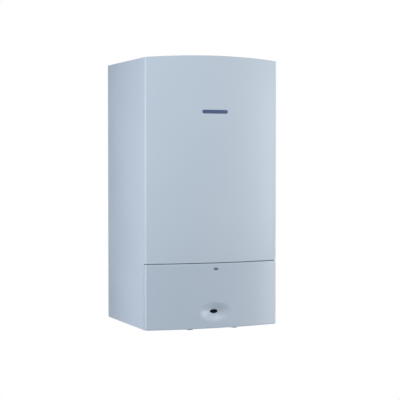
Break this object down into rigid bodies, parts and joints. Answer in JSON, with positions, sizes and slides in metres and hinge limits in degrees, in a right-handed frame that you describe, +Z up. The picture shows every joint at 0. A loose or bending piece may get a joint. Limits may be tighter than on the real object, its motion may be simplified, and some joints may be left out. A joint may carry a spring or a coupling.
{
  "type": "open-flue boiler",
  "caption": "White wall-hung open-flue gas boiler: bowed casing with an arched top, drop-down control flap over knobs, keys and gauge, flue socket on top, pipe tails below.",
  "frame": {"origin": "centre line of the back at the wall plane, level with the casing's lower edge", "axes": "+X to the viewer's right, +Y towards the wall, so the front faces -Y, +Z up"},
  "size_m": [0.45, 0.4, 0.884],
  "materials": {
    "white_enamel": "satin",
    "white_moulding": "satin",
    "galvanised": "satin",
    "stainless": "satin",
    "aluminised": "matte",
    "smoked": "gloss",
    "grey_moulding": "matte",
    "pale_moulding": "satin",
    "navy_moulding": "satin",
    "board_green": "satin",
    "clear": "gloss",
    "acrylic": "gloss",
    "copper": "satin",
    "brass": "satin",
    "cast": "matte",
    "motor_paint": "satin",
    "vessel_red": "satin",
    "red_moulding": "satin",
    "black_moulding": "matte",
    "die_cast": "matte",
    "porcelain": "satin",
    "fibre": "matte",
    "needle_black": "matte"
  },
  "bodies": {
    "boiler": {"casing_jacket": "white_enamel", "top_cover": "white_enamel", "jacket_screws": "stainless", "back_plate": "galvanised", "pipe_bracket": "galvanised", "control_arms": "galvanised", "chamber_rails": "galvanised", "control_housing": "grey_moulding", "control_fascia": "pale_moulding", "control_board": "board_green", "display_window": "smoked", "light_guide": "acrylic", "gauge_case": "black_moulding", "gauge_glass": "clear", "cable_gland": "black_moulding", "connection_tails": "brass", "plate_exchanger": "stainless", "three_way_valve": "brass", "three_way_actuator": "black_moulding", "relief_valve": "brass", "flow_sensor": "black_moulding", "cold_water_pipe": "copper", "pump_volute": "cast", "pump_motor": "motor_paint", "air_vent": "brass", "expansion_vessel": "vessel_red", "vessel_pipe": "copper", "flow_pipe": "copper", "return_pipe": "copper", "gas_valve": "die_cast", "gas_valve_coils": "black_moulding", "burner_feed_pipe": "die_cast", "burner_manifold": "die_cast", "burner_blades": "stainless", "burner_frame": "stainless", "electrodes": "porcelain", "combustion_chamber": "aluminised", "chamber_insulation": "fibre", "exchanger_frame": "copper", "exchanger_fins": "copper", "exchanger_tubes": "copper", "draught_hood": "aluminised", "flue_collar": "aluminised", "spillage_sensor": "black_moulding"},
    "flap": {"control_flap": "white_moulding", "flap_lens": "smoked", "flap_hinge_pins": "stainless"},
    "catch": {"latch_plunger": "navy_moulding"},
    "heating_dial": {"heating_knob": "navy_moulding"},
    "hot_water_dial": {"hot_water_knob": "navy_moulding"},
    "power_key": {"main_switch": "navy_moulding"},
    "reset_key": {"reset_button": "red_moulding"},
    "service_key": {"service_button": "navy_moulding"},
    "eco_key": {"eco_button": "navy_moulding"},
    "pressure_pointer": {"gauge_needle": "needle_black"},
    "pump_wheel": {"pump_rotor": "stainless"},
    "diverter_spool": {"three_way_stem": "stainless"},
    "water_wheel": {"flow_turbine": "pale_moulding"},
    "relief_handle": {"relief_knob": "red_moulding"}
  },
  "joints": [
    {"name": "flap_hinge", "type": "hinge", "parent": "boiler", "child": "flap", "pos_m": [0, -0.375, 0.0015], "axis": [1, 0, 0], "range_deg": [0, 100]},
    {"name": "catch_push", "type": "slide", "parent": "boiler", "child": "catch", "axis": [0, 1, 0], "range_m": [0, 0.003], "stiffness_N_per_m": 300, "springref_m": -0.002},
    {"name": "heating_turn", "type": "hinge", "parent": "boiler", "child": "heating_dial", "pos_m": [-0.14, -0.345, 0.112], "axis": [0, 1, 0], "range_deg": [-135, 135]},
    {"name": "hot_water_turn", "type": "hinge", "parent": "boiler", "child": "hot_water_dial", "pos_m": [-0.072, -0.345, 0.112], "axis": [0, 1, 0], "range_deg": [-135, 135]},
    {"name": "power_press", "type": "slide", "parent": "boiler", "child": "power_key", "axis": [0, 1, 0], "range_m": [0, 0.002], "stiffness_N_per_m": 400, "springref_m": -0.001},
    {"name": "reset_press", "type": "slide", "parent": "boiler", "child": "reset_key", "axis": [0, 1, 0], "range_m": [0, 0.002], "stiffness_N_per_m": 400, "springref_m": -0.001},
    {"name": "service_press", "type": "slide", "parent": "boiler", "child": "service_key", "axis": [0, 1, 0], "range_m": [0, 0.002], "stiffness_N_per_m": 400, "springref_m": -0.001},
    {"name": "eco_press", "type": "slide", "parent": "boiler", "child": "eco_key", "axis": [0, 1, 0], "range_m": [0, 0.002], "stiffness_N_per_m": 400, "springref_m": -0.001},
    {"name": "pressure_swing", "type": "hinge", "parent": "boiler", "child": "pressure_pointer", "pos_m": [0.112, -0.3276, 0.112], "axis": [0, 1, 0], "range_deg": [-135, 135], "stiffness_Nm_per_rad": 0.004},
    {"name": "pump_spin", "type": "hinge", "parent": "boiler", "child": "pump_wheel", "pos_m": [0.13, -0.11, 0.112], "axis": [0, 1, 0], "continuous": true},
    {"name": "diverter_shift", "type": "slide", "parent": "boiler", "child": "diverter_spool", "axis": [0, -1, 0], "range_m": [0, 0.008]},
    {"name": "turbine_spin", "type": "hinge", "parent": "boiler", "child": "water_wheel", "pos_m": [0.065, -0.06, 0.085], "axis": [0, 0, 1], "continuous": true},
    {"name": "relief_turn", "type": "hinge", "parent": "boiler", "child": "relief_handle", "pos_m": [-0.13, -0.122, 0.13], "axis": [0, -1, 0], "range_deg": [0, 90]}
  ]
}
